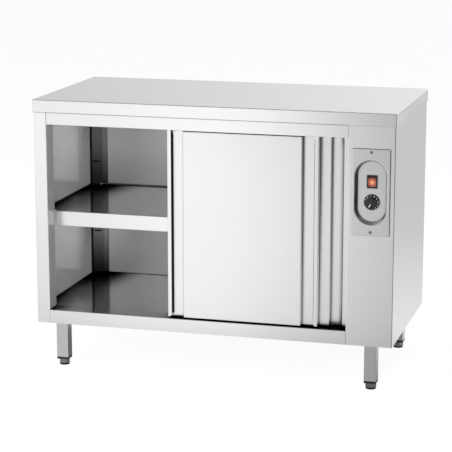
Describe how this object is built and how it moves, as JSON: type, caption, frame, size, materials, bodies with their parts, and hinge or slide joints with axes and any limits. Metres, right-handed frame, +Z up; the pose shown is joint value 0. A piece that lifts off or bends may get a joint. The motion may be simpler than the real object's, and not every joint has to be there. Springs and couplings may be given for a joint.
{
  "type": "heated plate cabinet",
  "caption": "Free-standing stainless heated plate cabinet with a flat worktop, sliding doors, an inner shelf and a control column on adjustable feet.",
  "frame": {"origin": "middle of the footprint at floor level, under the worktop's centre", "axes": "+X to the right seen from the front, along the worktop; +Y from the doors to the back; +Z up; the doors face -Y"},
  "size_m": [1.2, 0.6004, 0.9],
  "materials": {
    "stainless_brushed": "brushed stainless sheet",
    "stainless_bright": "bright annealed stainless sheet",
    "stainless_tube": "brushed stainless square tube",
    "galvanised_steel": "galvanised sheet",
    "zinc_plated_steel": "zinc plated steel",
    "particle_board": "raw particle board",
    "mineral_wool": "mineral wool slab",
    "black_polyamide": "moulded black polyamide",
    "white_nylon": "moulded natural nylon",
    "grey_rubber": "moulded rubber",
    "black_plastic": "moulded black plastic",
    "amber_lens": "moulded tinted lens",
    "black_phenolic": "moulded black phenolic",
    "motor_enamel": "black enamel",
    "impeller_aluminium": "pressed aluminium",
    "element_sheath": "heat tinted stainless sheath"
  },
  "bodies": {
    "cabinet": {"air_duct": "galvanised_steel", "back_panel": "galvanised_steel", "back_panel_screws": "zinc_plated_steel", "base_channels": "galvanised_steel", "base_pan": "stainless_brushed", "cable_gland": "black_plastic", "ceiling_panel": "stainless_bright", "chamber_partition": "stainless_bright", "control_plate": "stainless_brushed", "control_plate_screws": "zinc_plated_steel", "corner_posts": "stainless_bright", "door_buffers": "grey_rubber", "door_guide": "white_nylon", "door_tracks": "zinc_plated_steel", "fan_guard": "stainless_bright", "fan_motor": "motor_enamel", "floor_insulation": "mineral_wool", "floor_pan": "stainless_brushed", "heating_element": "element_sheath", "inner_back_wall": "stainless_bright", "left_side_panel": "stainless_brushed", "leg_bolts": "zinc_plated_steel", "leg_caps": "black_polyamide", "leg_front_left": "stainless_tube", "leg_front_right": "stainless_tube", "leg_rear_left": "stainless_tube", "leg_rear_right": "stainless_tube", "rear_insulation": "mineral_wool", "right_side_panel": "stainless_brushed", "shelf": "stainless_brushed", "shelf_brackets": "stainless_bright", "switch_body": "black_plastic", "terminal_block": "white_nylon", "thermostat_body": "black_plastic", "top_rail": "stainless_brushed", "worktop": "stainless_brushed", "worktop_core": "particle_board", "worktop_stiffeners": "galvanised_steel"},
    "front_door": {"front_door_skin": "stainless_brushed", "front_door_liner": "stainless_brushed", "front_door_core": "mineral_wool", "front_door_channels": "galvanised_steel", "front_door_hangers": "zinc_plated_steel"},
    "rear_door": {"rear_door_skin": "stainless_brushed", "rear_door_liner": "stainless_brushed", "rear_door_core": "mineral_wool", "rear_door_channels": "galvanised_steel", "rear_door_hangers": "zinc_plated_steel"},
    "front_door_roller_left": {"front_door_roller_left": "white_nylon"},
    "front_door_roller_right": {"front_door_roller_right": "white_nylon"},
    "rear_door_roller_left": {"rear_door_roller_left": "white_nylon"},
    "rear_door_roller_right": {"rear_door_roller_right": "white_nylon"},
    "switch_rocker": {"switch_rocker": "amber_lens"},
    "thermostat_knob": {"thermostat_knob": "black_phenolic", "thermostat_shaft": "zinc_plated_steel"},
    "fan_impeller": {"fan_impeller": "impeller_aluminium"},
    "foot_front_left": {"foot_front_left": "black_polyamide"},
    "foot_front_right": {"foot_front_right": "black_polyamide"},
    "foot_rear_left": {"foot_rear_left": "black_polyamide"},
    "foot_rear_right": {"foot_rear_right": "black_polyamide"}
  },
  "joints": [
    {"name": "front_door_slide", "type": "slide", "parent": "cabinet", "child": "front_door", "axis": [1, 0, 0], "range_m": [-0.40098, 0.08802]},
    {"name": "rear_door_slide", "type": "slide", "parent": "cabinet", "child": "rear_door", "axis": [1, 0, 0], "range_m": [-0.489, 0]},
    {"name": "front_door_roller_left_spin", "type": "hinge", "parent": "front_door", "child": "front_door_roller_left", "pos_m": [-0.06702, -0.272, 0.84325], "axis": [0, 1, 0], "range_deg": [-2560, 565]},
    {"name": "front_door_roller_right_spin", "type": "hinge", "parent": "front_door", "child": "front_door_roller_right", "pos_m": [0.27298, -0.272, 0.84325], "axis": [0, 1, 0], "range_deg": [-2560, 565]},
    {"name": "rear_door_roller_left_spin", "type": "hinge", "parent": "rear_door", "child": "rear_door_roller_left", "pos_m": [0.021, -0.243, 0.84325], "axis": [0, 1, 0], "range_deg": [-3120, 5]},
    {"name": "rear_door_roller_right_spin", "type": "hinge", "parent": "rear_door", "child": "rear_door_roller_right", "pos_m": [0.361, -0.243, 0.84325], "axis": [0, 1, 0], "range_deg": [-3120, 5]},
    {"name": "switch_rocker_tilt", "type": "hinge", "parent": "cabinet", "child": "switch_rocker", "pos_m": [0.522, -0.278, 0.681], "axis": [1, 0, 0], "range_deg": [-16, 0]},
    {"name": "thermostat_turn", "type": "hinge", "parent": "cabinet", "child": "thermostat_knob", "pos_m": [0.522, -0.2807, 0.616], "axis": [0, 1, 0], "range_deg": [0, 270]},
    {"name": "fan_spin", "type": "hinge", "parent": "cabinet", "child": "fan_impeller", "pos_m": [0.456, 0.04, 0.33], "axis": [1, 0, 0], "continuous": true},
    {"name": "foot_front_left_thread", "type": "slide", "parent": "cabinet", "child": "foot_front_left", "axis": [0, 0, -1], "range_m": [0, 0.03]},
    {"name": "foot_front_right_thread", "type": "slide", "parent": "cabinet", "child": "foot_front_right", "axis": [0, 0, -1], "range_m": [0, 0.03]},
    {"name": "foot_rear_left_thread", "type": "slide", "parent": "cabinet", "child": "foot_rear_left", "axis": [0, 0, -1], "range_m": [0, 0.03]},
    {"name": "foot_rear_right_thread", "type": "slide", "parent": "cabinet", "child": "foot_rear_right", "axis": [0, 0, -1], "range_m": [0, 0.03]}
  ],
  "couplings": [
    {"joint": "front_door_roller_left_spin", "follows": "front_door_slide", "rad_per_m": 111.11},
    {"joint": "front_door_roller_right_spin", "follows": "front_door_slide", "rad_per_m": 111.11},
    {"joint": "rear_door_roller_left_spin", "follows": "rear_door_slide", "rad_per_m": 111.11},
    {"joint": "rear_door_roller_right_spin", "follows": "rear_door_slide", "rad_per_m": 111.11}
  ]
}
